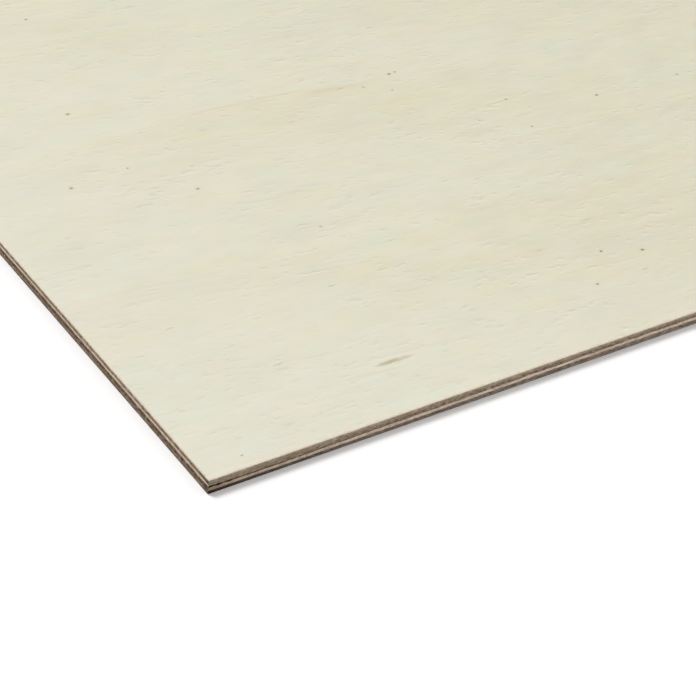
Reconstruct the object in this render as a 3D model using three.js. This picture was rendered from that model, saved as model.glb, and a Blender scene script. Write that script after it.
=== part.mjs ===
// A panel of five-ply birch plywood, lying flat with its good face up.
// Millimetres, +Z up. The origin is the centre of the underside, and X runs along the face grain.
import * as THREE from 'three';

// Panel, as sawn and sanded
const panelLength = 1200; // along the grain of the face
const panelWidth = 600;
const panelThickness = 6.5;
const brokenArris = 0.15; // taken off the sharp edges of both faces, all round

// Veneers: three with their grain along the panel, and two crossbands between them
const faceVeneer = 1.3; // the face and the back are thinned by sanding
const backVeneer = 1.2;
const coreVeneer = 1.6;
const crossbandVeneer = (panelThickness - faceVeneer - backVeneer - coreVeneer) / 2;

// Peeled veneer is never quite even, so the glue lines between the layers rise and fall in long waves
const waveAlong = 440;
const waveAcross = 600;
const gridStep = 50; // spacing of the points that follow the waves

// Wood: the sanded faces are pale, and the sawn edges of the layers inside are brown
const sandedFace = { color: 0xe3dfcc, roughness: 0.62 };
const sandedBack = { color: 0xd8cfb8, roughness: 0.66 };
const sawnCrossband = { color: 0x86745f, roughness: 0.85 };
const sawnCore = { color: 0xb4a08a, roughness: 0.85 };

// The layers from the underside up. dip is how far the top of a layer sinks where the waves are deepest.
const layers = [
  { name: 'back_veneer', thickness: backVeneer, dip: 0.42, wood: sandedBack },
  { name: 'lower_crossband', thickness: crossbandVeneer, dip: 0.87, wood: sawnCrossband },
  { name: 'core_veneer', thickness: coreVeneer, dip: 0.65, wood: sawnCore },
  { name: 'upper_crossband', thickness: crossbandVeneer, dip: 0.48, wood: sawnCrossband },
  { name: 'face_veneer', thickness: faceVeneer, dip: 0, wood: sandedFace },
];

// 1 where the glue lines lie deepest, as at the corner at -X and -Y, and 0 where they lie highest
function depthOfWave(x, y) {
  const along = (1 + Math.cos(2 * Math.PI * (x + panelLength / 2) / waveAlong)) / 2;
  const across = (1 + Math.cos(2 * Math.PI * (y + panelWidth / 2) / waveAcross)) / 2;
  return along * across;
}

// A surface of the panel as a height above each point: flat where dip is 0
function surfaceAt(height, dip) {
  return (x, y) => height - dip * depthOfWave(x, y);
}

// Evenly spaced places across a side, about one grid step apart
function placesAcross(size) {
  const steps = Math.round(size / gridStep);
  return Array.from({ length: steps + 1 }, (_, i) => size * (i / steps - 0.5));
}

// The points round the panel's outline, anticlockwise from the corner at -X and -Y
function outlinePoints(xs, ys) {
  const [left, right] = [xs[0], xs[xs.length - 1]];
  const [front, rear] = [ys[0], ys[ys.length - 1]];
  return [
    ...xs.slice(0, -1).map((x) => [x, front]),
    ...ys.slice(0, -1).map((y) => [right, y]),
    ...xs.slice(1).reverse().map((x) => [x, rear]),
    ...ys.slice(1).reverse().map((y) => [left, y]),
  ];
}

// One layer as a closed slab between two surfaces, with an arris broken where an outer face meets the edge
function layerGeometry(lower, upper, lowerArris, upperArris) {
  const xs = placesAcross(panelLength);
  const ys = placesAcross(panelWidth);
  const positions = [];

  // Both triangles of a quad share the diagonal from its first corner, so that layers meet without a gap
  const addQuad = (...corners) => {
    for (const i of [0, 1, 2, 0, 2, 3]) positions.push(...corners[i]);
  };
  const pointOn = (surface, inset) => (x, y) => [
    THREE.MathUtils.clamp(x, inset - panelLength / 2, panelLength / 2 - inset),
    THREE.MathUtils.clamp(y, inset - panelWidth / 2, panelWidth / 2 - inset),
    surface(x, y),
  ];

  const onLower = pointOn(lower, lowerArris);
  const onUpper = pointOn(upper, upperArris);
  for (let i = 1; i < xs.length; i++) {
    for (let j = 1; j < ys.length; j++) {
      const [x0, x1, y0, y1] = [xs[i - 1], xs[i], ys[j - 1], ys[j]];
      addQuad(onUpper(x0, y0), onUpper(x1, y0), onUpper(x1, y1), onUpper(x0, y1));
      addQuad(onLower(x0, y0), onLower(x0, y1), onLower(x1, y1), onLower(x1, y0));
    }
  }

  // The edge climbs from rim to rim: the lower arris, the sawn edge, and the upper arris
  const rims = [onLower];
  if (lowerArris) rims.push((x, y) => [x, y, lower(x, y) + lowerArris]);
  if (upperArris) rims.push((x, y) => [x, y, upper(x, y) - upperArris]);
  rims.push(onUpper);
  const outline = outlinePoints(xs, ys);
  for (let r = 1; r < rims.length; r++) {
    outline.forEach((start, i) => {
      const end = outline[(i + 1) % outline.length];
      addQuad(rims[r - 1](...start), rims[r - 1](...end), rims[r](...end), rims[r](...start));
    });
  }

  const geometry = new THREE.BufferGeometry();
  geometry.setAttribute('position', new THREE.Float32BufferAttribute(positions, 3));
  geometry.computeVertexNormals();
  return geometry;
}

const panel = new THREE.Group();
panel.name = 'plywood_sheet';

let height = 0;
let lower = surfaceAt(height, 0);
layers.forEach((layer, i) => {
  height += layer.thickness;
  const upper = surfaceAt(height, layer.dip);
  const lowerArris = i === 0 ? brokenArris : 0;
  const upperArris = i === layers.length - 1 ? brokenArris : 0;
  const mesh = new THREE.Mesh(
    layerGeometry(lower, upper, lowerArris, upperArris),
    new THREE.MeshStandardMaterial({ ...layer.wood, metalness: 0 }),
  );
  mesh.name = layer.name;
  panel.add(mesh);
  lower = upper;
});

export default panel;
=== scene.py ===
import math

import bmesh
import bpy
from mathutils import Matrix, Vector


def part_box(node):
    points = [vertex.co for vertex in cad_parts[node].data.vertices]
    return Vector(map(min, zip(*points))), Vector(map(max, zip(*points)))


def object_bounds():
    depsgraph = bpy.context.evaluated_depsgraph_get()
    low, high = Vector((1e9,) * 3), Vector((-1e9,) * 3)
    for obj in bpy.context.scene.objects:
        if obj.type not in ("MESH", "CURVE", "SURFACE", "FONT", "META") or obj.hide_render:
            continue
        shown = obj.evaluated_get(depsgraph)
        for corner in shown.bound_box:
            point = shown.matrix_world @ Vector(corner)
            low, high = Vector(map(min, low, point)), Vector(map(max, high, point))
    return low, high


# A panel of birch plywood lying flat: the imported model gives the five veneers, and their looks are made here
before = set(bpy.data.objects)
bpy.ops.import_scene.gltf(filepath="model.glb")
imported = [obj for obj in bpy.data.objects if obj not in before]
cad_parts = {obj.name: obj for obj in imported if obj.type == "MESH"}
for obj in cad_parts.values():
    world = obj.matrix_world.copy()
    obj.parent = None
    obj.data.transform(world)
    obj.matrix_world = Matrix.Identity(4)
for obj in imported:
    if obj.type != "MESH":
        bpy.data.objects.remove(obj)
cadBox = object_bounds()
print("frame loaded:", sorted(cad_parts))

mm = 0.001  # one millimetre in the scene's metres
sheetLow, sheetHigh = cadBox
sheetSize = (sheetHigh - sheetLow) / mm  # length, width and thickness in millimetres
nearCorner = Vector((sheetLow.x, sheetLow.y, sheetHigh.z))  # top of the corner nearest the camera

stackUp = ["back_veneer", "lower_crossband", "core_veneer", "upper_crossband", "face_veneer"]


# Small tools for node trees

def linearColour(hexColour):
    values = [int(hexColour[i:i + 2], 16) / 255 for i in (1, 3, 5)]
    linear = [v / 12.92 if v <= 0.04045 else ((v + 0.055) / 1.055) ** 2.4 for v in values]
    return (*linear, 1.0)


# Adds a node: sockets takes a value, a hex colour or another node's output for each input
def addNode(tree, kind, sockets=None, **settings):
    node = tree.nodes.new(kind)
    for name, value in settings.items():
        setattr(node, name, value)
    for key, value in (sockets or {}).items():
        if isinstance(value, bpy.types.NodeSocket):
            tree.links.new(value, node.inputs[key])
        elif isinstance(value, str):
            node.inputs[key].default_value = linearColour(value)
        else:
            node.inputs[key].default_value = value
    return node


def newMaterial(name):
    material = bpy.data.materials.new(name)
    material.use_nodes = True
    material.node_tree.nodes.clear()
    return material, material.node_tree


# Camera

shot = {
    "offset": Vector((-0.300697, -0.473853, 0.476178)),  # from the near top corner to the lens, in metres
    "heading": 52.9525,  # degrees from +X towards +Y
    "tilt": 36.194,  # degrees below level
    "roll": 6.186,
    "lens": 103.448,
    "sensor": 36.0,
    "clip": (0.01, 50.0),
}


def makeCamera():
    data = bpy.data.cameras.new("camera")
    data.lens = shot["lens"]
    data.sensor_width = shot["sensor"]
    data.clip_start, data.clip_end = shot["clip"]
    camera = bpy.data.objects.new("camera", data)
    turn = (
        Matrix.Rotation(math.radians(shot["heading"] - 90), 4, "Z")
        @ Matrix.Rotation(math.radians(90 - shot["tilt"]), 4, "X")
        @ Matrix.Rotation(math.radians(shot["roll"]), 4, "Z")
    )
    camera.matrix_world = Matrix.Translation(nearCorner + shot["offset"]) @ turn
    bpy.context.scene.collection.objects.link(camera)
    bpy.context.scene.camera = camera
    print("camera placed")


# Light and floor

studio = {
    "keyStrength": 1.72,
    "keyFrom": Vector((-0.22, 0.46, 1.0)),  # direction towards the lamp
    "keyDistance": 2.0,  # only puts the lamp's symbol clear of the panel
    "keySpread": 20.0,  # degrees across, which sets how soft the shadow's edge is
    "skyStrength": 0.475,
    "skyColour": "#FFFFFF",
    "floorColour": "#FAFAFA",
    "floorRoughness": 0.9,
    "floorLift": 0.13,  # added only where the floor is seen, so that it is white and lights nothing more
    "floorHalf": 20.0,  # metres from the middle to an edge
    "floorDrop": 0.0001,
}


# 1 for a ray that shows the background: straight from the camera, in a reflection or through glass
def showsBackground(tree):
    ray = addNode(tree, "ShaderNodeLightPath")
    direct = addNode(tree, "ShaderNodeMath", {
        0: ray.outputs["Is Camera Ray"], 1: ray.outputs["Is Glossy Ray"]}, operation="MAXIMUM")
    seen = addNode(tree, "ShaderNodeMath", {
        0: direct.outputs[0], 1: ray.outputs["Is Transmission Ray"]}, operation="MAXIMUM")
    return seen.outputs[0]


def lightTheStudio():
    key = bpy.data.lights.new("key lamp", "SUN")
    key.energy = studio["keyStrength"]
    key.angle = math.radians(studio["keySpread"])
    lamp = bpy.data.objects.new("key lamp", key)
    lamp.rotation_mode = "QUATERNION"
    lamp.rotation_quaternion = studio["keyFrom"].to_track_quat("Z", "Y")
    lamp.location = studio["keyFrom"] * studio["keyDistance"]
    bpy.context.scene.collection.objects.link(lamp)

    world = bpy.data.worlds.new("white studio")
    world.use_nodes = True
    tree = world.node_tree
    tree.nodes.clear()
    strength = addNode(tree, "ShaderNodeMapRange", {
        "Value": showsBackground(tree), "To Min": studio["skyStrength"], "To Max": 1.0})
    sky = addNode(tree, "ShaderNodeBackground", {
        "Color": studio["skyColour"], "Strength": strength.outputs[0]})
    addNode(tree, "ShaderNodeOutputWorld", {"Surface": sky.outputs[0]})
    bpy.context.scene.world = world
    print("studio lit")


# Matt white paper: no shine and no texture, only the soft shadow under the panel's shaded edge
def makeFloor():
    shape = bmesh.new()
    bmesh.ops.create_grid(shape, x_segments=1, y_segments=1, size=studio["floorHalf"])
    bmesh.ops.translate(shape, verts=shape.verts, vec=(0, 0, sheetLow.z - studio["floorDrop"]))
    mesh = bpy.data.meshes.new("floor")
    shape.to_mesh(mesh)
    shape.free()
    floor = bpy.data.objects.new("floor", mesh)
    bpy.context.scene.collection.objects.link(floor)

    material, tree = newMaterial("matt white paper")
    lift = addNode(tree, "ShaderNodeMath", {
        0: showsBackground(tree), 1: studio["floorLift"]}, operation="MULTIPLY")
    paper = addNode(tree, "ShaderNodeBsdfPrincipled", {
        "Base Color": studio["floorColour"], "Roughness": studio["floorRoughness"],
        "Specular IOR Level": 0.0,
        "Emission Color": studio["skyColour"], "Emission Strength": lift.outputs[0]})
    addNode(tree, "ShaderNodeOutputMaterial", {"Surface": paper.outputs[0]})
    mesh.materials.append(material)
    print("floor laid")


# What all the veneers share, in millimetres

panel = {
    "waveAlong": 440.0,  # length of the glue lines' waves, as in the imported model
    "waveAcross": 600.0,
    "arris": 0.15,  # what is taken off the sharp edges of both faces
    "arrisHold": 0.3,  # over this share of the arris the edge's look holds, and then it gives way
    "slant": 7.0,  # the vessels run this many degrees off the long side
    "noiseRoughness": 0.55,
    "noiseSpan": (0.35, 0.65),  # nearly all of a noise lies between these values
}


# How deep the glue lines lie: 1 at the corner at -X and -Y
def waveDepth(tree, place):
    halves = []
    for axis, length in (("x", panel["waveAlong"]), ("y", panel["waveAcross"])):
        turn = addNode(tree, "ShaderNodeMath", {
            0: place[axis], 1: 2 * math.pi / length}, operation="MULTIPLY")
        wave = addNode(tree, "ShaderNodeMath", {0: turn.outputs[0]}, operation="COSINE")
        half = addNode(tree, "ShaderNodeMath", {
            0: wave.outputs[0], 1: 0.5, 2: 0.5}, operation="MULTIPLY_ADD")
        halves.append(half.outputs[0])
    depth = addNode(tree, "ShaderNodeMath", {0: halves[0], 1: halves[1]}, operation="MULTIPLY")
    return depth.outputs[0]


# Where a point is: millimetres from the corner at -X and -Y, how far it is inside the sawn edges, and how
# deep the glue lines lie there
def readPlace(tree):
    coords = addNode(tree, "ShaderNodeTexCoord")
    local = addNode(tree, "ShaderNodeVectorMath", {
        0: coords.outputs["Object"], 1: tuple(sheetLow)}, operation="SUBTRACT")
    point = addNode(tree, "ShaderNodeVectorMath", {0: local.outputs[0], "Scale": 1 / mm}, operation="SCALE")
    split = addNode(tree, "ShaderNodeSeparateXYZ", {0: point.outputs[0]})
    slanted = addNode(tree, "ShaderNodeVectorRotate", {
        "Vector": point.outputs[0], "Angle": math.radians(panel["slant"])}, rotation_type="Z_AXIS")
    place = {
        "point": point.outputs[0], "slanted": slanted.outputs[0],
        "x": split.outputs[0], "y": split.outputs[1], "z": split.outputs[2]}
    for name, axis, size in (("end", "x", sheetSize.x), ("side", "y", sheetSize.y)):
        middle = addNode(tree, "ShaderNodeMath", {0: place[axis], 1: size / 2}, operation="SUBTRACT")
        out = addNode(tree, "ShaderNodeMath", {0: middle.outputs[0]}, operation="ABSOLUTE")
        inside = addNode(tree, "ShaderNodeMath", {0: size / 2, 1: out.outputs[0]}, operation="SUBTRACT")
        edge = addNode(tree, "ShaderNodeMapRange", {
            "Value": inside.outputs[0], "From Min": panel["arrisHold"] * panel["arris"],
            "From Max": panel["arris"], "To Min": 1.0, "To Max": 0.0})
        place[name + "Inside"] = inside.outputs[0]
        place[name + "Edge"] = edge.outputs[0]
    edges = addNode(tree, "ShaderNodeMath", {0: place["endEdge"], 1: place["sideEdge"]}, operation="MAXIMUM")
    place["edge"] = edges.outputs[0]
    place["depth"] = waveDepth(tree, place)
    return place


# Noise drawn out along the grain: size is the length, width and height of one streak in millimetres, and
# the seed moves the noise to a place of its own
def streaks(tree, place, size, seed, detail=2.0, shift=(0.0, 0.0), point="point"):
    stretched = addNode(tree, "ShaderNodeMapping", {
        "Vector": place[point],
        "Location": (seed + shift[0] / size[0], 1.7 * seed + shift[1] / size[1], 2.3 * seed),
        "Scale": tuple(1 / s for s in size)})
    noise = addNode(tree, "ShaderNodeTexNoise", {
        "Vector": stretched.outputs[0], "Scale": 1.0, "Detail": detail,
        "Roughness": panel["noiseRoughness"]})
    return noise.outputs["Fac"]


# Thin layers of colour laid over a ground colour one after another, real stains and painted light and shade
# alike, each a colour and how much of it there is
def layStains(tree, ground, stains):
    colour = ground
    for stain, amount in stains:
        mix = addNode(tree, "ShaderNodeMix", {0: amount, 6: colour, 7: stain}, data_type="RGBA")
        colour = mix.outputs[2]
    return colour


# Height in millimetres above the glue line on top of the veneer stackUp[level]
def aboveGlue(tree, place, level):
    height = (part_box(stackUp[level])[1].z - sheetLow.z) / mm
    dip = height - (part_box(stackUp[level + 1])[0].z - sheetLow.z) / mm
    surface = addNode(tree, "ShaderNodeMath", {
        0: place["depth"], 1: -dip, 2: height}, operation="MULTIPLY_ADD")
    above = addNode(tree, "ShaderNodeMath", {0: place["z"], 1: surface.outputs[0]}, operation="SUBTRACT")
    return above.outputs[0]


# The sawn edges: long grain is streaked, cut grain is darker and shows pores and lathe checks

sawnEdges = {
    "glueTone": "#2E2014",
    "glueHalf": 0.14,  # half the height of a glue line, in millimetres
    "glueUneven": (0.4, 1.7),  # it swells and thins between these shares of that
    "gluePatches": ((3, 3, 30), 21.0),
    "glueDrift": ((9, 9, 200), 34.0),
    "glueWander": 0.25,  # how far the drift lifts or lowers a glue line
    "poreTone": "#45362A",
    "dryTone": "#D2C2AA",
    "rustTone": "#8B5D50",
    "oliveTone": "#6A6440",
    # Marks in each kind of grain: tone, length and height in millimetres, noise range, greatest share. Real
    # pores are about 0.1 mm, too fine to show, so they are drawn as coarse as 1 mm.
    "longMarks": [
        ("poreTone", 14.0, 0.4, 0.47, 0.72, 0.3), ("poreTone", 2.0, 0.9, 0.48, 0.68, 0.4),
        ("dryTone", 2.2, 1.2, 0.5, 0.68, 0.55), ("rustTone", 6.0, 2.4, 0.5, 0.7, 0.26),
        ("oliveTone", 8.0, 3.0, 0.5, 0.7, 0.2),
    ],
    "cutMarks": [
        ("dryTone", 1.6, 1.0, 0.5, 0.66, 0.5), ("poreTone", 1.9, 0.8, 0.47, 0.63, 0.7),
        ("rustTone", 3.6, 2.4, 0.5, 0.64, 0.5), ("oliveTone", 4.6, 2.8, 0.5, 0.64, 0.45),
    ],
    "markDepth": 40,  # a mark goes this far into the wood
    "markSeed": 3.3,
    # Glue smeared by the saw: how far it runs below the core's top line on the long side, above it on the end
    "glueSmear": (0.26, -0.26),
    # Lathe checks darken a band of the core on the end: its depth below the core's top, half height and climb
    "checkTone": "#4E3722",
    "checkBand": (1.2, 0.52, 0.5),
    "checkHold": 0.4,  # share of the half height that is fully dark
    "checkShare": 0.9,
    # A painted highlight under the upper arris reaches this far down the edges, stronger in patches
    "edgeGlintTone": "#E9DCC6",
    "edgeGlintHeight": 0.5,
    "edgeGlintPatches": ((1.7, 1.7, 30), 66.0),
    "edgeGlintShare": (0.2, 0.9),
    # The saw burnt the corner: how far the burn fades along the long side and across the end
    "charAndShadeTone": "#1C0F03",  # charred; also the painted shade where the edges meet the floor
    "toastTone": "#8A683F",  # only browned
    "scorchReach": (42.0, 11.0),
    # How much thicker the burn makes the glue line on top of the core on the long side, and there its tip
    "glueBurn": (1.4, 1.7),
    # The glue and the wood are darkest at the corner itself, over this reach
    "tipReach": (13.0, 4.0),
    "tipShare": (0.17, 0.3),
    "tipGlue": 1.8,  # how much stronger the glue lines are there
    "tipRise": 0.2,  # how much higher the charred one stands there, as a share of glueBurn
    # Painted shade on the lowest fibres, where the edge meets the floor: whole below the first height, none
    # above the second, and how much
    "contactShade": (0.1, 0.45, 0.75),
    "tornFibres": ((1.4, 1.4, 1.0), 58.0),  # the saw leaves small tufts of torn fibre
    "tornDepth": 0.1,
}

# Each veneer's edges, long side and end: tone, grain, its stain at the corner, and its top glue line's share
veneerEdges = {
    "face_veneer": {
        "tones": ("#AA9B87", "#998974"), "grain": ("long", "cut"), "glue": (0.0, 0.0),
        "corner": (("charAndShadeTone", 0.05), ("charAndShadeTone", 0.35))},
    "upper_crossband": {
        "tones": ("#9D8971", "#EDD8C3"), "grain": ("cut", "long"), "glue": (0.15, 0.55),
        "corner": (("dryTone", 0.26), ("dryTone", 0.1))},
    "core_veneer": {
        "tones": ("#F4E1CF", "#7E6A56"), "grain": ("long", "cut"), "glue": (1.0, 1.0),
        "corner": (("toastTone", 0.54), ("charAndShadeTone", 0.2))},
    "lower_crossband": {
        "tones": ("#A29282", "#938371"), "grain": ("cut", "long"), "glue": (0.8, 0.8),
        "corner": (("charAndShadeTone", 0.85), ("charAndShadeTone", 0.05))},
    "back_veneer": {
        "tones": ("#A29484", "#7F7262"), "grain": ("long", "cut"), "glue": (0.8, 0.8),
        "corner": (("charAndShadeTone", 0.92), ("charAndShadeTone", 0.2))},
}


# What varies along one edge: side 0 is the long side and 1 the end. The burn and the tip are 1 at the
# corner, film is half the height of the glue, and wander is how far the glue lines drift.
def readEdge(tree, place, side):
    distance = place["y"] if side else place["x"]
    reach = addNode(tree, "ShaderNodeMath", {
        0: distance, 1: -1 / sawnEdges["scorchReach"][side]}, operation="MULTIPLY")
    burn = addNode(tree, "ShaderNodeMath", {0: reach.outputs[0]}, operation="EXPONENT")
    tip = addNode(tree, "ShaderNodeMapRange", {
        "Value": distance, "From Max": sawnEdges["tipReach"][side],
        "To Min": 1.0, "To Max": 0.0}, interpolation_type="SMOOTHSTEP")

    low, high = panel["noiseSpan"]
    thin, thick = sawnEdges["glueUneven"]
    film = addNode(tree, "ShaderNodeMapRange", {
        "Value": streaks(tree, place, *sawnEdges["gluePatches"]), "From Min": low, "From Max": high,
        "To Min": thin * sawnEdges["glueHalf"], "To Max": thick * sawnEdges["glueHalf"]})
    drift = streaks(tree, place, *sawnEdges["glueDrift"])
    most = sawnEdges["glueWander"]
    wander = addNode(tree, "ShaderNodeMath", {0: drift, 1: 2 * most, 2: -most}, operation="MULTIPLY_ADD")
    return {
        "side": side, "burn": burn.outputs[0], "tip": tip.outputs[0],
        "film": film.outputs[0], "wander": wander.outputs[0]}


# One kind of mark, drawn out along the edge it lies on
def edgeMark(tree, place, side, seed, mark):
    tone, length, height, low, high, most = mark
    deep = sawnEdges["markDepth"]
    size = (deep, length, height) if side else (length, deep, height)
    amount = addNode(tree, "ShaderNodeMapRange", {
        "Value": streaks(tree, place, size, seed), "From Min": low, "From Max": high, "To Max": most})
    return sawnEdges[tone], amount.outputs[0]


def latheChecks(tree, place, level):
    below, half, climb = sawnEdges["checkBand"]
    middle = addNode(tree, "ShaderNodeMath", {
        0: place["depth"], 1: -climb, 2: below}, operation="MULTIPLY_ADD")
    offset = addNode(tree, "ShaderNodeMath", {
        0: aboveGlue(tree, place, level), 1: middle.outputs[0]}, operation="ADD")
    away = addNode(tree, "ShaderNodeMath", {0: offset.outputs[0]}, operation="ABSOLUTE")
    checks = addNode(tree, "ShaderNodeMapRange", {
        "Value": away.outputs[0], "From Min": sawnEdges["checkHold"] * half, "From Max": half,
        "To Min": sawnEdges["checkShare"], "To Max": 0.0})
    return sawnEdges["checkTone"], checks.outputs[0]


# The dark glue line on top of the veneer stackUp[level]
def glueLine(tree, place, edge, level):
    onCore = stackUp[level] == "core_veneer"
    burnt, charred = sawnEdges["glueBurn"] if onCore and not edge["side"] else (0.0, 0.0)
    smear = sawnEdges["glueSmear"][edge["side"]] / 2 if onCore else 0.0
    share = veneerEdges[stackUp[level]]["glue"][edge["side"]]
    swell = addNode(tree, "ShaderNodeMath", {0: edge["burn"], 1: burnt, 2: 1.0}, operation="MULTIPLY_ADD")
    thicker = addNode(tree, "ShaderNodeMath", {
        0: edge["tip"], 1: charred, 2: swell.outputs[0]}, operation="MULTIPLY_ADD")
    film = addNode(tree, "ShaderNodeMath", {0: edge["film"], 1: thicker.outputs[0]}, operation="MULTIPLY")
    half = addNode(tree, "ShaderNodeMath", {
        0: place["depth"], 1: abs(smear), 2: film.outputs[0]}, operation="MULTIPLY_ADD")
    middle = addNode(tree, "ShaderNodeMath", {
        0: place["depth"], 1: smear, 2: aboveGlue(tree, place, level)}, operation="MULTIPLY_ADD")
    lift = addNode(tree, "ShaderNodeMath", {
        0: edge["tip"], 1: -sawnEdges["tipRise"] * charred, 2: edge["wander"]}, operation="MULTIPLY_ADD")
    offset = addNode(tree, "ShaderNodeMath", {0: middle.outputs[0], 1: lift.outputs[0]}, operation="ADD")
    gap = addNode(tree, "ShaderNodeMath", {0: offset.outputs[0]}, operation="ABSOLUTE")
    strength = addNode(tree, "ShaderNodeMath", {
        0: edge["tip"], 1: sawnEdges["tipGlue"] * share, 2: share}, operation="MULTIPLY_ADD")
    line = addNode(tree, "ShaderNodeMapRange", {
        "Value": gap.outputs[0], "From Max": half.outputs[0],
        "To Min": strength.outputs[0], "To Max": 0.0})
    return sawnEdges["glueTone"], line.outputs[0]


# Painted shade on the lowest fibres at the floor, and a painted highlight under the upper arris
def paintedShadeAndGlint(tree, place):
    shadeFullBelow, shadeNoneAbove, share = sawnEdges["contactShade"]
    # Painted shade: the lowest fibres darkened where the edge meets the floor
    contactShade = addNode(tree, "ShaderNodeMapRange", {
        "Value": place["z"], "From Min": shadeFullBelow, "From Max": shadeNoneAbove, "To Min": share, "To Max": 0.0})
    low, high = panel["noiseSpan"]
    least, most = sawnEdges["edgeGlintShare"]
    glintPatches = addNode(tree, "ShaderNodeMapRange", {
        "Value": streaks(tree, place, *sawnEdges["edgeGlintPatches"]), "From Min": low, "From Max": high,
        "To Min": least, "To Max": most})
    # Painted highlight: a pale band along the top of the sawn edges, under the arris
    glintBand = addNode(tree, "ShaderNodeMapRange", {
        "Value": place["z"], "From Min": sheetSize.z - sawnEdges["edgeGlintHeight"], "From Max": sheetSize.z,
        "To Max": glintPatches.outputs[0]})
    return [(sawnEdges["charAndShadeTone"], contactShade.outputs[0]), (sawnEdges["edgeGlintTone"], glintBand.outputs[0])]


def sawnEdge(tree, place, veneer, side):
    looks = veneerEdges[veneer]
    kind = looks["grain"][side]
    level = stackUp.index(veneer)
    edge = readEdge(tree, place, side)
    stains = []
    if kind == "cut" and veneer == "core_veneer":
        stains.append(latheChecks(tree, place, level))
    for i, mark in enumerate(sawnEdges[kind + "Marks"]):
        seed = sawnEdges["markSeed"] + 10 * side + level + 2 * i
        stains.append(edgeMark(tree, place, side, seed, mark))
    tone, share = looks["corner"][side]
    stained = addNode(tree, "ShaderNodeMath", {0: edge["burn"], 1: share}, operation="MULTIPLY")
    stains.append((sawnEdges[tone], stained.outputs[0]))
    for below in (level - 1, level):
        if 0 <= below < len(stackUp) - 1:
            stains.append(glueLine(tree, place, edge, below))
    tip = addNode(tree, "ShaderNodeMath", {
        0: edge["tip"], 1: sawnEdges["tipShare"][side]}, operation="MULTIPLY")
    stains.append((sawnEdges["charAndShadeTone"], tip.outputs[0]))
    stains += paintedShadeAndGlint(tree, place)
    return layStains(tree, looks["tones"][side], stains)


# The peeled faces

# Open vessels left by the knife. Real ones are about 0.1 mm wide, too fine to show, so they are drawn several
# times as wide and fewer.
grain = {
    # Short and long vessels: length, width and height of the noise in millimetres, its seed, and how strong
    "vessels": [((6.0, 2.5, 30.0), 9.3, 1.0), ((30.0, 2.9, 30.0), 2.6, 0.45)],
    "vesselSpan": (0.55, 0.82),  # the part of the noise that makes a vessel
    "patches": ((55, 13, 50), 12.0, 1.0),  # they crowd together in patches
    "patchSpan": (0.35, 0.6),
    "sparseShare": 0.35,  # their strength between the patches
    "vesselDepth": 0.1,  # in millimetres
    "vesselShare": 0.26,  # how dark they are: dark pores, partly painted shade in their grooves
    "wallGlintShare": 0.55,
    "wallGlintShift": (0.45, 0.9),  # from the middle of a vessel to the painted highlight on its lit wall, along and across the grain
}
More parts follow.
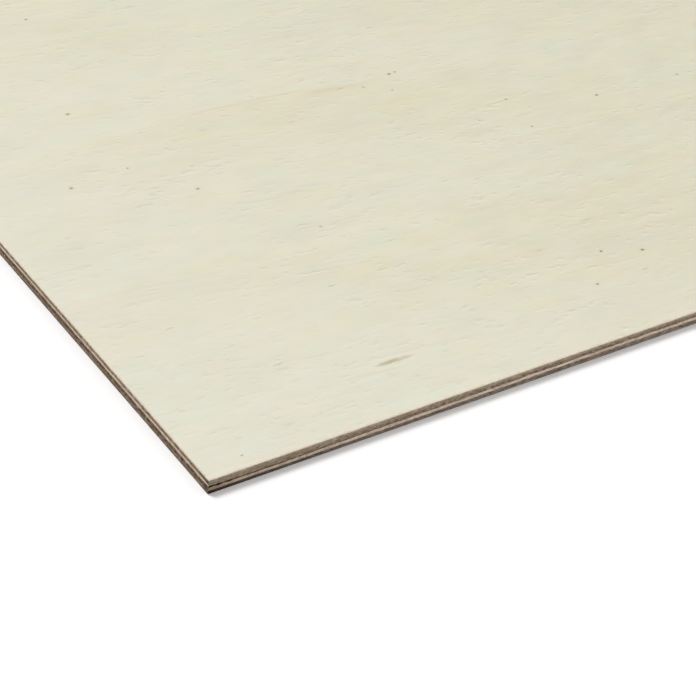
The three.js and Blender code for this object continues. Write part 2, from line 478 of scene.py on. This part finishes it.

# The good face: pale at the near corner and warmer and darker further in, partly its own tone and partly a
# painted light falloff, with soft tan flames
face = {
    "paleTone": "#E7E6D6",
    "creamTone": "#E2E0C9",
    "warmTone": "#DAD7BD",
    "pinkTone": "#EBD9CA",
    "yellowTone": "#E5DFB9",
    "greenTone": "#DADFCB",
    "tanTone": "#E0CDA2",
    "rosyTone": "#CDB8A4",
    "lightLine": "#F0EDE0",
    "darkLine": "#A89D80",
    "rimGlintTone": "#F2E0C8",
    "fringeTone": "#AA9982",
    "knotTone": "#4E4E22",
    "gumTone": "#BC9C66",
    "weatheredTone": "#8E8B60",
    # The rim's painted highlight along the arris, and its fringe that darkens towards the edge: tone, width in
    # millimetres, greatest share
    "rims": [("rimGlintTone", 2.4, 0.6), ("fringeTone", 1.2, 0.34)],
    "rimStart": 0.1,  # both are whole up to here
    "rimTorn": ((1.8, 1.8, 30), 51.0),
    "rimRagged": 1.3,  # how far the torn fibres move the rim in or out
    "rimOnEnd": 1.4,  # how many times narrower it is on the end
    # How the corner's pale tone turns warm and darker, partly the wood's own tone and partly a painted light
    # falloff: for each millimetre along, and most across and its reach
    "warmAlong": 0.00236,
    "warmAcross": (0.24, 90.0),
    "warmDrift": ((380, 130, 50), 5.1, 1.0),
    "warmUneven": 0.25,  # how far the drift moves the change
    "creamSpan": (0.0, 0.45),  # the warmth over which cream comes in, and then the warm tone
    "warmSpan": (0.5, 1.05),
    "paleSide": (0.13, 55.0),  # how much paler the long side is, as painted light falloff, and how far in
    "cornerFigure": 0.6,  # the corner is sanded smoother, with less of the mottles and vessels
    "figureReach": 0.5,  # the warmth and painted falloff at which they are whole
    # Mottles: tone, size in millimetres, seed and greatest share
    "mottles": [
        ("lightLine", (19, 4.6, 30), 17.2, 0.2), ("darkLine", (16, 7, 30), 41.0, 0.1),
        ("darkLine", (50, 20, 50), 27.0, 0.09), ("pinkTone", (16, 8, 50), 63.0, 0.38),
        ("yellowTone", (30, 13, 50), 77.0, 0.38), ("greenTone", (34, 15, 50), 91.0, 0.42),
    ],
    "mottleSpan": (0.4, 0.75),
    # Flames: the crest of the arc, its bend, how far it wavers and over what depth it climbs, where the flame
    # starts and ends, and how deep it fades
    "flames": [
        {"tone": "tanTone", "crest": (133.5, 235.8), "bend": 0.00134, "waver": 1.5, "climb": (-0.8, 1.2),
         "ends": (20, 130, 260, 345), "fade": (16, 78), "share": 0.21},
        {"tone": "darkLine", "crest": (133.5, 235.9), "bend": 0.00134, "waver": 1.5, "climb": (-0.8, 0.4),
         "ends": (110, 134, 158, 178), "fade": (0.8, 2.8), "share": 0.16},
        {"tone": "darkLine", "crest": (133.5, 237.5), "bend": 0.00134, "waver": 1.5, "climb": (-0.8, 0.4),
         "ends": (166, 174, 184, 196), "fade": (0.8, 2.6), "share": 0.16},
        {"tone": "darkLine", "crest": (133.5, 234.9), "bend": 0.00134, "waver": 1.5, "climb": (-0.8, 0.4),
         "ends": (186, 198, 208, 230), "fade": (1.2, 3.6), "share": 0.13},
        {"tone": "tanTone", "crest": (133.5, 236.4), "bend": 0.00134, "waver": 1.5, "climb": (-0.8, 1.2),
         "ends": (168, 200, 222, 238), "fade": (3, 11), "share": 0.2},
        {"tone": "paleTone", "crest": (133.5, 292), "bend": 0.00134, "waver": 9, "climb": (-20, 30),
         "ends": (180, 225, 330, 400), "fade": (38, 58), "share": 0.22},
        {"tone": "tanTone", "crest": (265, 112), "bend": 0.0009, "waver": 9, "climb": (-2, 6),
         "ends": (80, 220, 330, 430), "fade": (34, 62), "share": 0.19},
        {"tone": "tanTone", "crest": (20, 126), "bend": 0.0006, "waver": 9, "climb": (-2, 6),
         "ends": (-40, 0, 40, 230), "fade": (26, 52), "share": 0.18},
        {"tone": "tanTone", "crest": (270, 76), "bend": 0.0004, "waver": 9, "climb": (-2, 6),
         "ends": (180, 235, 420, 520), "fade": (30, 90), "share": 0.1},
        {"tone": "rosyTone", "crest": (270, 80), "bend": 0.0004, "waver": 9, "climb": (-2, 6),
         "ends": (140, 230, 420, 520), "fade": (60, 160), "share": 0.08},
        {"tone": "tanTone", "crest": (40, 386), "bend": 0.0009, "waver": 9, "climb": (-2, 6),
         "ends": (-40, 20, 100, 160), "fade": (30, 110), "share": 0.1},
    ],
    "flameWobble": ((40, 20, 50), 8.4),
    "wobbleSpan": (0.2, 0.8),
    # Beyond them the rings follow one rule: spacing, how far they wander and ripple, where they start, and
    # the part of a ring over which it comes in before its sharp line
    "rings": {
        "spacing": 105.0, "drift": ((620, 190, 50), 3.1, 1.0), "wander": 3.2, "share": 0.42,
        "start": (400, 350), "startWidth": 90, "ripple": ((60, 24, 50), 8.8), "rippleShare": 0.16,
        "patches": ((260, 70, 50), 14.4), "fadeFrom": 0.25, "sharpFrom": 0.92},
    # Over the same stretch come scattered pin knots, one to a cell at most and none in a share of the cells
    "pinKnots": {
        "spacing": 62.0, "radius": 0.95, "share": 0.6, "start": (440, 370), "startWidth": 5,
        "emptyCells": 0.3},
    # Pin knots: millimetres from the corner along and across the grain, the diameter, and how dark
    "knots": [
        (249.4, 47.8, 1.3, 0.65), (231.6, 55.1, 1.0, 0.75), (46.4, 200.5, 1.3, 0.55),
        (74.4, 259.0, 1.4, 0.55), (236.3, 228.2, 1.2, 0.75), (320.1, 166.9, 1.2, 0.65),
        (96.8, 176.1, 1.2, 0.55), (98.4, 352.1, 1.1, 0.6), (213.8, 35.7, 1.0, 0.6),
        (240.1, 228.8, 1.1, 0.5), (76.8, 204.8, 0.8, 0.5), (372.8, 166.3, 1.1, 0.45),
        (275.2, 182.8, 1.0, 0.5), (270.8, 155.9, 0.9, 0.5), (130.0, 126.1, 1.0, 0.35),
        (228.6, 214.1, 0.9, 0.45), (250.5, 171.4, 0.8, 0.3), (216.9, 222.3, 1.2, 0.3),
        (104.1, 194.1, 0.7, 0.3),
    ],
    "knotStretch": 0.8,  # knots are drawn out along the grain
    # A knot's stained halo and its dark middle: tone, inner and outer radius in diameters, share of how dark
    "knotMarks": [("gumTone", 0.5, 1.7, 0.22), ("knotTone", 0.36, 0.72, 1.0)],
    # Gum streaks, fresh and weathered: start and end along the grain, place across, greatest width, how dark
    "gum": [(98.0, 114.5, 29.9, 3.2, 0.42)],
    "weatheredGum": [
        (93.0, 107.0, 30.2, 2.9, 0.46),
        (57.0, 64.0, 49.0, 0.9, 0.35), (106.5, 112.5, 85.4, 0.9, 0.35), (189.0, 194.0, 25.2, 0.9, 0.35),
        (237.5, 244.0, 35.5, 0.9, 0.35), (204.0, 210.5, 67.6, 0.9, 0.3), (302.0, 308.0, 265.5, 1.1, 0.3),
        (252.0, 257.5, 273.5, 1.1, 0.3), (202.5, 209.0, 225.9, 1.3, 0.34), (145.0, 151.5, 353.1, 1.1, 0.35),
        (121.5, 128.0, 219.7, 1.0, 0.3), (163.0, 169.5, 208.6, 1.0, 0.3), (31.0, 36.5, 89.2, 0.9, 0.3),
        (197.0, 221.0, 175.0, 1.2, 0.18), (259.5, 279.0, 182.0, 1.3, 0.32), (263.0, 283.0, 166.9, 1.2, 0.2),
        (17.2, 19.8, 7.1, 0.75, 0.6),
    ],
    "gumFlutter": ((1.8, 1.6, 30), 37.0),
    "gumRagged": 0.75,  # how far the flutter moves a streak's edge
    "gumFade": (0.3, 1.05),  # from its middle, in shares of its half width
}

# The underside is a lower grade: darker, with stronger figure, more knots and brown streaks
back = {
    **face,
    "paleTone": "#DBD2BA",
    "creamTone": "#D9CEB3",
    "warmTone": "#D2C5A6",
    "tanTone": "#B89468",
    "knotTone": "#6E5A3E",
    "gumTone": "#A08B68",
    "mottles": [
        ("lightLine", (34, 3.4, 30), 31.2, 0.2), ("darkLine", (22, 7, 30), 53.0, 0.16),
        ("darkLine", (70, 22, 50), 71.0, 0.2), ("gumTone", (120, 5, 50), 83.0, 0.35),
    ],
    "cornerFigure": 1.0,
    "flames": [],
    "rings": {
        **face["rings"], "spacing": 74.0, "drift": ((480, 150, 50), 3.1, 1.0), "wander": 4.1,
        "share": 0.4, "start": (-90, -90)},
    "pinKnots": {**face["pinKnots"], "spacing": 34.0, "radius": 1.9, "share": 1.0, "start": (-50, -50)},
    "knots": [(212.0, 148.0, 7.5, 1.0), (655.0, 402.0, 9.0, 1.0), (930.0, 170.0, 6.0, 1.0)],
    "gum": [
        (300.0, 352.0, 96.0, 3.5, 0.6), (705.0, 760.0, 505.0, 4.0, 0.6), (890.0, 915.0, 330.0, 2.5, 0.5)],
    "weatheredGum": [],
}


# How far the pale corner has turned warm and darker, partly its own tone and partly a painted light falloff: a
# steady rise along the grain, and a rise across that levels off
def warmthWithFalloff(tree, place, looks):
    most, reach = looks["warmAcross"]
    across = addNode(tree, "ShaderNodeMath", {0: place["y"], 1: -1 / reach}, operation="MULTIPLY")
    fall = addNode(tree, "ShaderNodeMath", {0: across.outputs[0]}, operation="EXPONENT")
    rise = addNode(tree, "ShaderNodeMath", {
        0: fall.outputs[0], 1: -most, 2: most}, operation="MULTIPLY_ADD")
    warmAndFalloff = addNode(tree, "ShaderNodeMath", {
        # Painted light falloff mixed with the wood's own warming: the face darkens away from the near corner
        0: place["x"], 1: looks["warmAlong"], 2: rise.outputs[0]}, operation="MULTIPLY_ADD")
    return warmAndFalloff.outputs[0]


# Cream, then the warm tone, and a paler strip along the long side: the wood's own tones, carrying a painted
# light falloff as well
def groundTonesAndFalloff(tree, place, looks, warmAndFalloff):
    drift = streaks(tree, place, *looks["warmDrift"])
    most = looks["warmUneven"]
    uneven = addNode(tree, "ShaderNodeMath", {0: drift, 1: 2 * most, 2: -most}, operation="MULTIPLY_ADD")
    broad = addNode(tree, "ShaderNodeMath", {0: warmAndFalloff, 1: uneven.outputs[0]}, operation="ADD")
    stains = []
    for tone, span in (("creamTone", "creamSpan"), ("warmTone", "warmSpan")):
        low, high = looks[span]
        amount = addNode(tree, "ShaderNodeMapRange", {
            "Value": broad.outputs[0], "From Min": low, "From Max": high})
        stains.append((looks[tone], amount.outputs[0]))
    share, reach = looks["paleSide"]
    # Painted light falloff: a paler strip along the near long side
    paler = addNode(tree, "ShaderNodeMapRange", {
        "Value": place["sideInside"], "From Max": reach, "To Min": share, "To Max": 0.0})
    stains.append((looks["lightLine"], paler.outputs[0]))
    return stains


# A flame: a sharp upper edge that follows an arc, fading downwards
def flameShare(tree, place, flame, wobble):
    crestX, crestY = flame["crest"]
    start, full, thin, end = flame["ends"]
    across = addNode(tree, "ShaderNodeMath", {0: place["x"], 1: crestX}, operation="SUBTRACT")
    squared = addNode(tree, "ShaderNodeMath", {
        0: across.outputs[0], 1: across.outputs[0]}, operation="MULTIPLY")
    arc = addNode(tree, "ShaderNodeMath", {
        0: squared.outputs[0], 1: -flame["bend"], 2: crestY}, operation="MULTIPLY_ADD")
    crest = addNode(tree, "ShaderNodeMath", {
        0: wobble, 1: flame["waver"], 2: arc.outputs[0]}, operation="MULTIPLY_ADD")
    below = addNode(tree, "ShaderNodeMath", {0: crest.outputs[0], 1: place["y"]}, operation="SUBTRACT")
    share = flame["share"]
    for value, low, high, first, last in (
            (below.outputs[0], *flame["climb"], 0, 1), (below.outputs[0], *flame["fade"], 1, 0),
            (place["x"], start, full, 0, 1), (place["x"], thin, end, 1, 0)):
        ramp = addNode(tree, "ShaderNodeMapRange", {
            "Value": value, "From Min": low, "From Max": high, "To Min": first, "To Max": last},
            interpolation_type="SMOOTHSTEP")
        product = addNode(tree, "ShaderNodeMath", {0: ramp.outputs[0], 1: share}, operation="MULTIPLY")
        share = product.outputs[0]
    return share


def flameStains(tree, place, looks):
    stains = []
    if looks["flames"]:
        low, high = looks["wobbleSpan"]
        wobble = addNode(tree, "ShaderNodeMapRange", {
            "Value": streaks(tree, place, *looks["flameWobble"]), "From Min": low, "From Max": high,
            "To Min": -1.0, "To Max": 1.0})
        for flame in looks["flames"]:
            stains.append((looks[flame["tone"]], flameShare(tree, place, flame, wobble.outputs[0])))
    return stains


# 0 near the corner and 1 past start on either axis, over the given width
def pastCorner(tree, place, start, width):
    ramps = []
    for axis, low in zip("xy", start):
        ramp = addNode(tree, "ShaderNodeMapRange", {
            "Value": place[axis], "From Min": low, "From Max": low + width},
            interpolation_type="SMOOTHSTEP")
        ramps.append(ramp.outputs[0])
    return addNode(tree, "ShaderNodeMath", {0: ramps[0], 1: ramps[1]}, operation="MAXIMUM").outputs[0]


# Growth rings cut at a slant: tan bands that start at a sharp line and fade away across the grain
def ringShare(tree, place, rings):
    climb = addNode(tree, "ShaderNodeMath", {
        0: streaks(tree, place, *rings["drift"]), 1: rings["wander"], 2: 0.0}, operation="MULTIPLY_ADD")
    level = addNode(tree, "ShaderNodeMath", {
        0: place["y"], 1: 1 / rings["spacing"], 2: climb.outputs[0]}, operation="MULTIPLY_ADD")
    wavy = addNode(tree, "ShaderNodeMath", {
        0: streaks(tree, place, *rings["ripple"]), 1: rings["rippleShare"], 2: level.outputs[0]},
        operation="MULTIPLY_ADD")
    phase = addNode(tree, "ShaderNodeMath", {0: wavy.outputs[0]}, operation="FRACT")
    rise = addNode(tree, "ShaderNodeMapRange", {
        "Value": phase.outputs[0], "From Min": rings["sharpFrom"], "From Max": 1.0,
        "To Min": 1.0, "To Max": 0.0})
    fade = addNode(tree, "ShaderNodeMapRange", {
        "Value": phase.outputs[0], "From Min": rings["fadeFrom"], "From Max": rings["sharpFrom"]},
        interpolation_type="SMOOTHSTEP")
    low, high = panel["noiseSpan"]
    patchy = addNode(tree, "ShaderNodeMapRange", {
        "Value": streaks(tree, place, *rings["patches"]), "From Min": low, "From Max": high,
        "To Max": rings["share"]})
    share = pastCorner(tree, place, rings["start"], rings["startWidth"])
    for factor in (rise.outputs[0], fade.outputs[0], patchy.outputs[0]):
        share = addNode(tree, "ShaderNodeMath", {0: share, 1: factor}, operation="MULTIPLY").outputs[0]
    return share


# Pin knots scattered over the rest of the sheet
def pinKnotShare(tree, place, pins):
    cells = addNode(tree, "ShaderNodeVectorMath", {
        0: place["point"], "Scale": 1 / pins["spacing"]}, operation="SCALE")
    knots = addNode(tree, "ShaderNodeTexVoronoi", {
        "Vector": cells.outputs[0], "Scale": 1.0}, voronoi_dimensions="2D")
    chance = addNode(tree, "ShaderNodeSeparateColor", {0: knots.outputs["Color"]})
    radius = addNode(tree, "ShaderNodeMapRange", {
        "Value": chance.outputs[0], "From Min": pins["emptyCells"], "From Max": 1.0,
        "To Max": pins["radius"] / pins["spacing"]})
    knot = addNode(tree, "ShaderNodeMath", {
        0: knots.outputs["Distance"], 1: radius.outputs[0]}, operation="LESS_THAN")
    share = addNode(tree, "ShaderNodeMath", {0: knot.outputs[0], 1: pins["share"]}, operation="MULTIPLY")
    there = pastCorner(tree, place, pins["start"], pins["startWidth"])
    return addNode(tree, "ShaderNodeMath", {0: share.outputs[0], 1: there}, operation="MULTIPLY").outputs[0]


# 1 in an open vessel and 0 between; shift moves them all along and across the grain, in millimetres
def vesselMask(tree, place, shift=(0.0, 0.0)):
    low, high = grain["patchSpan"]
    busy = addNode(tree, "ShaderNodeMapRange", {
        "Value": streaks(tree, place, *grain["patches"]), "From Min": low, "From Max": high,
        "To Min": grain["sparseShare"], "To Max": 1.0})
    masks = []
    low, high = grain["vesselSpan"]
    for size, seed, most in grain["vessels"]:
        line = streaks(tree, place, size, seed, 1.0, shift, "slanted")
        mask = addNode(tree, "ShaderNodeMapRange", {
            "Value": line, "From Min": low, "From Max": high, "To Max": most},
            interpolation_type="SMOOTHSTEP")
        masks.append(mask.outputs[0])
    both = addNode(tree, "ShaderNodeMath", {0: masks[0], 1: masks[1]}, operation="MAXIMUM")
    vessels = addNode(tree, "ShaderNodeMath", {0: both.outputs[0], 1: busy.outputs[0]}, operation="MULTIPLY")
    return vessels.outputs[0]


# Faint mottles, and the dark vessels, partly painted shade in their grooves, each with a painted highlight on
# its lit wall, all weaker towards the corner
def figureAndGrooveLight(tree, place, looks, warmAndFalloff):
    figure = addNode(tree, "ShaderNodeMapRange", {
        "Value": warmAndFalloff, "From Max": looks["figureReach"], "To Min": looks["cornerFigure"]})
    stains = []
    low, high = looks["mottleSpan"]
    for tone, size, seed, share in looks["mottles"]:
        most = addNode(tree, "ShaderNodeMath", {0: figure.outputs[0], 1: share}, operation="MULTIPLY")
        amount = addNode(tree, "ShaderNodeMapRange", {
            "Value": streaks(tree, place, size, seed), "From Min": low, "From Max": high,
            "To Max": most.outputs[0]})
        stains.append((looks[tone], amount.outputs[0]))
    # Painted highlight: the vessel mask moved onto each groove's lit wall
    litWalls = vesselMask(tree, place, grain["wallGlintShift"])
    for tone, mask, share in (
            ("lightLine", litWalls, grain["wallGlintShare"]), ("darkLine", place["vessels"], grain["vesselShare"])):
        most = addNode(tree, "ShaderNodeMath", {0: figure.outputs[0], 1: share}, operation="MULTIPLY")
        amount = addNode(tree, "ShaderNodeMath", {0: mask, 1: most.outputs[0]}, operation="MULTIPLY")
        stains.append((looks[tone], amount.outputs[0]))
    return stains


# One gum streak: a thin ellipse along the grain, made ragged by a wavering height
def gumShare(tree, place, waver, fade, streak):
    start, end, y, width, share = streak
    along = addNode(tree, "ShaderNodeMath", {0: place["x"], 1: (start + end) / 2}, operation="SUBTRACT")
    reach = addNode(tree, "ShaderNodeMath", {
        0: along.outputs[0], 1: 2 / (end - start)}, operation="MULTIPLY")
    offset = addNode(tree, "ShaderNodeMath", {0: waver, 1: y}, operation="SUBTRACT")
    aside = addNode(tree, "ShaderNodeMath", {0: offset.outputs[0], 1: 2 / width}, operation="MULTIPLY")
    apart = addNode(tree, "ShaderNodeCombineXYZ", {0: reach.outputs[0], 1: aside.outputs[0]})
    away = addNode(tree, "ShaderNodeVectorMath", {0: apart.outputs[0]}, operation="LENGTH")
    mark = addNode(tree, "ShaderNodeMapRange", {
        "Value": away.outputs["Value"], "From Min": fade[0], "From Max": fade[1],
        "To Min": share, "To Max": 0.0}, interpolation_type="SMOOTHSTEP")
    return mark.outputs[0]


def gumStains(tree, place, looks):
    flutter = streaks(tree, place, *looks["gumFlutter"])
    most = looks["gumRagged"]
    shake = addNode(tree, "ShaderNodeMath", {0: flutter, 1: 2 * most, 2: -most}, operation="MULTIPLY_ADD")
    waver = addNode(tree, "ShaderNodeMath", {0: place["y"], 1: shake.outputs[0]}, operation="ADD")
    stains = []
    for tone, kind in (("gumTone", "gum"), ("weatheredTone", "weatheredGum")):
        for streak in looks[kind]:
            share = gumShare(tree, place, waver.outputs[0], looks["gumFade"], streak)
            stains.append((looks[tone], share))
    return stains


def knotStains(tree, place, looks):
    stretch = looks["knotStretch"]
    flat = addNode(tree, "ShaderNodeVectorMath", {
        0: place["point"], 1: (stretch, 1.0, 0.0)}, operation="MULTIPLY")
    stains = []
    for x, y, size, dark in looks["knots"]:
        away = addNode(tree, "ShaderNodeVectorMath", {
            0: flat.outputs[0], 1: (stretch * x, y, 0.0)}, operation="DISTANCE")
        for tone, inner, outer, share in looks["knotMarks"]:
            mark = addNode(tree, "ShaderNodeMapRange", {
                "Value": away.outputs["Value"], "From Min": inner * size, "From Max": outer * size,
                "To Min": share * dark, "To Max": 0.0}, interpolation_type="SMOOTHSTEP")
            stains.append((looks[tone], mark.outputs[0]))
    return stains


# The rim of the face: a painted highlight along the arris and a darker fringe, made ragged by the torn fibres
def rimGlintAndFringe(tree, place, looks):
    torn = streaks(tree, place, *looks["rimTorn"])
    most = looks["rimRagged"]
    ragged = addNode(tree, "ShaderNodeMath", {0: torn, 1: 2 * most, 2: -most}, operation="MULTIPLY_ADD")
    fromEnd = addNode(tree, "ShaderNodeMath", {
        0: place["endInside"], 1: looks["rimOnEnd"]}, operation="MULTIPLY")
    inside = addNode(tree, "ShaderNodeMath", {
        0: fromEnd.outputs[0], 1: place["sideInside"]}, operation="MINIMUM")
    depth = addNode(tree, "ShaderNodeMath", {0: inside.outputs[0], 1: ragged.outputs[0]}, operation="ADD")
    stains = []
    # Painted highlight along the arris, then a fringe that darkens towards the edge
    for tone, width, share in looks["rims"]:
        rim = addNode(tree, "ShaderNodeMapRange", {
            "Value": depth.outputs[0], "From Min": looks["rimStart"], "From Max": width,
            "To Min": share, "To Max": 0.0})
        stains.append((looks[tone], rim.outputs[0]))
    return stains


def faceColour(tree, place, looks):
    warmAndFalloff = warmthWithFalloff(tree, place, looks)
    stains = groundTonesAndFalloff(tree, place, looks, warmAndFalloff)
    stains += flameStains(tree, place, looks)
    stains.append((looks["tanTone"], ringShare(tree, place, looks["rings"])))
    stains += figureAndGrooveLight(tree, place, looks, warmAndFalloff)
    stains += gumStains(tree, place, looks)
    stains.append((looks["knotTone"], pinKnotShare(tree, place, looks["pinKnots"])))
    stains += knotStains(tree, place, looks)
    stains += rimGlintAndFringe(tree, place, looks)
    return layStains(tree, looks["paleTone"], stains)


# The faces glued together inside the panel: plain wood with the glue soaked in
inner = {
    "woodTone": "#D8CFB8",
    "glueTone": "#A99B7E",
    "fibres": ((24, 1.1, 20), 2.0),
}


def innerColour(tree, place):
    soaked = streaks(tree, place, *inner["fibres"])
    return layStains(tree, inner["woodTone"], [(inner["glueTone"], soaked)])


# Materials of the veneers

finish = {
    "ior": 1.5,  # typical of wood
    "faceRoughness": 0.62,  # peeled and sanded
    "edgeRoughness": 0.9,  # sawn
    "faceGloss": 0.5,
    "edgeGloss": 0.06,  # sawn fibres hardly shine
}


# Vessels as grooves in the faces, and torn fibres on the edges
def reliefOf(tree, place):
    onFace = addNode(tree, "ShaderNodeMath", {0: 1.0, 1: place["edge"]}, operation="SUBTRACT")
    grooves = addNode(tree, "ShaderNodeMath", {
        0: place["vessels"], 1: onFace.outputs[0]}, operation="MULTIPLY")
    tufts = streaks(tree, place, *sawnEdges["tornFibres"])
    most = sawnEdges["tornDepth"] / grain["vesselDepth"]
    torn = addNode(tree, "ShaderNodeMath", {0: tufts, 1: 2 * most, 2: -most}, operation="MULTIPLY_ADD")
    height = addNode(tree, "ShaderNodeMath", {
        0: torn.outputs[0], 1: place["edge"], 2: grooves.outputs[0]}, operation="MULTIPLY_ADD")
    relief = addNode(tree, "ShaderNodeBump", {
        "Height": height.outputs[0], "Strength": 1.0, "Distance": grain["vesselDepth"] * mm}, invert=True)
    return relief.outputs[0]


def finishVeneer(name, veneer, looks=None):
    material, tree = newMaterial(name)
    place = readPlace(tree)
    place["vessels"] = vesselMask(tree, place)
    flatColour = faceColour(tree, place, looks) if looks else innerColour(tree, place)
    longSide = sawnEdge(tree, place, veneer, 0)
    end = sawnEdge(tree, place, veneer, 1)
    colour = layStains(tree, flatColour, [(longSide, place["edge"]), (end, place["endEdge"])])
    gloss = finish["edgeGloss"]
    if looks:
        shine = addNode(tree, "ShaderNodeMapRange", {
            "Value": place["edge"], "To Min": finish["faceGloss"], "To Max": finish["edgeGloss"]})
        gloss = shine.outputs[0]
    rough = addNode(tree, "ShaderNodeMapRange", {
        "Value": place["edge"], "To Min": finish["faceRoughness"], "To Max": finish["edgeRoughness"]})
    wood = addNode(tree, "ShaderNodeBsdfPrincipled", {
        "Base Color": colour, "Roughness": rough.outputs[0], "IOR": finish["ior"],
        "Specular IOR Level": gloss, "Normal": reliefOf(tree, place)})
    addNode(tree, "ShaderNodeOutputMaterial", {"Surface": wood.outputs[0]})
    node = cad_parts[veneer]
    node.data.materials.clear()
    node.data.materials.append(material)
    print("finished", veneer)


makeCamera()
lightTheStudio()
makeFloor()

# Sanded birch: a pale matt skin with a faint sheen, fine dark vessels, soft flames and a few pin knots
finishVeneer("birch face, peeled and sanded", "face_veneer", face)
# Sawn across its fibres on the long side, where it looks grey-brown and rough, and along them on the end,
# where it is the one bright stripe
finishVeneer("birch upper crossband, sawn", "upper_crossband")
# Sawn along its fibres on the long side, a bright stripe between dark glue lines, and across them on the end,
# where the lathe checks make it the darkest band
finishVeneer("birch core, sawn", "core_veneer")
# Sawn across its fibres on the long side and along them on the end, and a plain dull brown on both
finishVeneer("birch lower crossband, sawn", "lower_crossband")
# Sanded birch of a lower grade: browner, with strong rings, larger knots and brown streaks, and painted shade
# low on its edges
finishVeneer("birch back, peeled and sanded", "back_veneer", back)

bpy.context.scene.view_settings.view_transform = "Standard"
